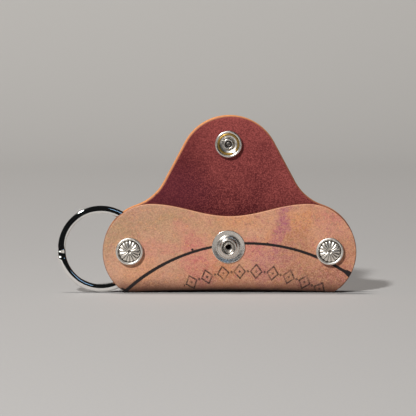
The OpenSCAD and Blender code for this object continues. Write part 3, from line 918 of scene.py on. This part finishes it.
def rosette(name, node, cx, cz, turn):
    around = PETALS * PETAL_STEPS
    verts, groove, faces = [], [], []
    for j in range(ROSETTE_RINGS + 1):
        s = 0.03 + 0.97 * j / ROSETTE_RINGS
        for i in range(around):
            a = 2 * math.pi * i / around + math.radians(turn)
            in_petal = abs((i % PETAL_STEPS) / PETAL_STEPS - 0.5) * 2
            height, painted_shade, scallop = rosette_relief(s, in_petal)
            r = ROSETTE_R * s * scallop
            verts.append((cx + r * math.cos(a), -OUTER_Y - height, cz + r * math.sin(a)))
            groove.append(painted_shade)
    top = len(verts)
    verts.append((cx, -OUTER_Y - ROSETTE_TOP + DIMPLE_FLOOR, cz))
    groove.append(0.5)
    rim = ROSETTE_RINGS * around
    base = len(verts)
    verts += [(x, -OUTER_Y - ROSETTE_FOOT, z) for x, _, z in verts[rim:rim + around]]
    groove += [1.0] * around
    for i in range(around):
        k = (i + 1) % around
        faces.append((top, i, k))
        for j in range(ROSETTE_RINGS):
            here, after = j * around, (j + 1) * around
            faces.append((here + i, after + i, after + k, here + k))
    for i in range(around):
        k = (i + 1) % around
        faces.append((rim + i, base + i, base + k, rim + k))
    faces.append(tuple(base + i for i in reversed(range(around))))
    obj = mesh_object(name, verts, faces, [CONCHO])
    add_vectors(obj, "groove", [(g, g, g) for g in groove])
    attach(obj, "case")
    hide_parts(node)


for side, cx, turn in (("left", -CONCHO_X, 4.0), ("right", CONCHO_X, 9.0)):
    turned(f"{side}_cup_turned", f"{side}_concho_cup", "case", RIM, cup,
           cx, CONCHO_Z, -OUTER_Y)
    rosette(f"{side}_rosette_petals", f"{side}_rosette", cx, CONCHO_Z, turn)

# The key ring: one flattened wire wound in two turns less a gap. The wire steps over from the
# front turn to the back one between two of its stations, which are 15 degrees apart.
RING_T, RING_PITCH, RING_LEAN = 1.36, 1.46, 3.0
STATIONS, STATION_A, CROSSING = 44, 15, (23.05, 23.95)
WIRE_STEPS, WIRE_SIDES, WIRE_POWER = 528, 32, 0.6


def squared(value):
    return math.copysign(abs(value) ** WIRE_POWER, value)


def split_ring():
    mid_r, lean = RING_R - RING_W / 2, math.radians(RING_LEAN)
    verts, faces = [], []
    for k in range(WIRE_STEPS + 1):
        station = STATIONS * k / WIRE_STEPS
        a = math.radians(180 - STATION_A * station)
        y = -RING_PITCH / 2 + RING_PITCH * smooth(*CROSSING, station)
        for s in range(WIRE_SIDES):
            b = 2 * math.pi * s / WIRE_SIDES
            r = mid_r + squared(math.cos(b)) * RING_W / 2
            px, pz = r * math.cos(a), r * math.sin(a)
            py = y + squared(math.sin(b)) * RING_T / 2
            verts.append((RING_X + px, py * math.cos(lean) + pz * math.sin(lean),
                          RING_Z + pz * math.cos(lean) - py * math.sin(lean)))
    for k in range(WIRE_STEPS):
        here, after = k * WIRE_SIDES, (k + 1) * WIRE_SIDES
        for s in range(WIRE_SIDES):
            n = (s + 1) % WIRE_SIDES
            faces.append((here + s, here + n, after + n, after + s))
    last = WIRE_STEPS * WIRE_SIDES
    faces.append(tuple(reversed(range(WIRE_SIDES))))
    faces.append(tuple(last + s for s in range(WIRE_SIDES)))
    obj = mesh_object("split_ring", verts, faces, [CHROME])
    ends = set(range(WIRE_SIDES)) | set(range(last, last + WIRE_SIDES))
    mark_sharp(obj, lambda a, b: a in ends and b in ends)
    return obj


ring = split_ring()
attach(ring, "ring")
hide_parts("key_ring")

# The stage, in metres: a seamless pale sweep. Its floor far in front is a piece of its own,
# which the metal doesn't mirror, so the ring shows the dark room there.
FLOOR_HALF, FLOOR_NEAR, FLOOR_SPLIT, FLOOR_END = 1.4, -1.4, -0.36, 0.55
SWEEP_R, SWEEP_A = 0.6, 40


def sweep_paper():
    m = Nodes("sweep_paper")
    p = m.object_place()
    grain = m.ramp(m.noise(p, 900.0, 3, 0.6), 0.3, 0.7, 0.0, 0.5)
    colour = m.mix(grain, linear(167, 166, 165), linear(163, 162, 161))
    # painted light: the paper is painted paler towards the back and up the wall
    m.set("Base Color", m.paint(colour, m.ramp(m.split(p)[1], 0.1, 1.15), (201, 200, 197)))
    m.set("Roughness", 0.75)
    m.set("Specular IOR Level", 0.25)
    return m.mat


paper = sweep_paper()
wall = [(FLOOR_END + y, z) for y, z in arc(0, SWEEP_R, SWEEP_R, -90, SWEEP_A - 90, 12)[1:]]
for name, line in (("sweep", [(FLOOR_SPLIT, 0.0), (FLOOR_END, 0.0)] + wall),
                   ("sweep_front", [(FLOOR_NEAR, 0.0), (FLOOR_SPLIT, 0.0)])):
    verts = [(x, y, z) for y, z in line for x in (-FLOOR_HALF, FLOOR_HALF)]
    faces = [(2 * i, 2 * i + 1, 2 * i + 3, 2 * i + 2) for i in range(len(line) - 1)]
    floor = mesh_object(name, verts, faces, [paper], unit=1.0)
    floor.visible_glossy = name == "sweep"


def look(obj, place, target):
    obj.location = place
    obj.rotation_euler = (Vector(target) - Vector(place)).to_track_quat("-Z", "Y").to_euler()


def lamp(name, place, target, size, power, colour, size_y=None):
    data = bpy.data.lights.new(name, "AREA")
    data.energy, data.color, data.size = power, colour, size
    if size_y:
        data.shape, data.size_y = "RECTANGLE", size_y
    obj = bpy.data.objects.new(name, data)
    bpy.context.collection.objects.link(obj)
    look(obj, place, target)
    return obj


# The key lamp, an overhead lamp that the metal doesn't mirror, and a dim blue window
middle = (0, 0, 0.02)
lamp("key", (-0.66, -1.1, 1.05), middle, 0.13, 27, (1.0, 0.99, 0.975))
top_lamp = lamp("top", (-0.3, 0.14, 1.2), (0.22, 0.1, 0), 0.1, 10.3, (1.0, 0.95, 0.91), 0.4)
top_lamp.visible_glossy = False
lamp("window", (0.14, -1.57, 0.33), middle, 0.34, 0.16, (0.36, 0.64, 1.0), 0.09)
world = bpy.data.worlds.new("studio")
bpy.context.scene.world = world
world.use_nodes = True
background = world.node_tree.nodes["Background"].inputs
background["Color"].default_value = (0.9, 0.95, 1.0, 1.0)
background["Strength"].default_value = 0.008

# The camera, at the photograph's angle: far off with a long lens, looking a little down
CAMERA_TILT, CAMERA_AWAY = math.radians(5.5), 1.3
camera = bpy.data.objects.new("camera", bpy.data.cameras.new("camera"))
bpy.context.collection.objects.link(camera)
camera.data.lens, camera.data.sensor_width, camera.data.sensor_fit = 300, 36, "HORIZONTAL"
camera.data.clip_start, camera.data.clip_end = 0.05, 20
aim = Vector((-8.06, 0, 31.65)) * MM
back = Vector((0, -math.cos(CAMERA_TILT), math.sin(CAMERA_TILT)))
look(camera, aim + back * CAMERA_AWAY, aim)
bpy.context.scene.camera = camera
bpy.context.scene.view_settings.view_transform = "Standard"
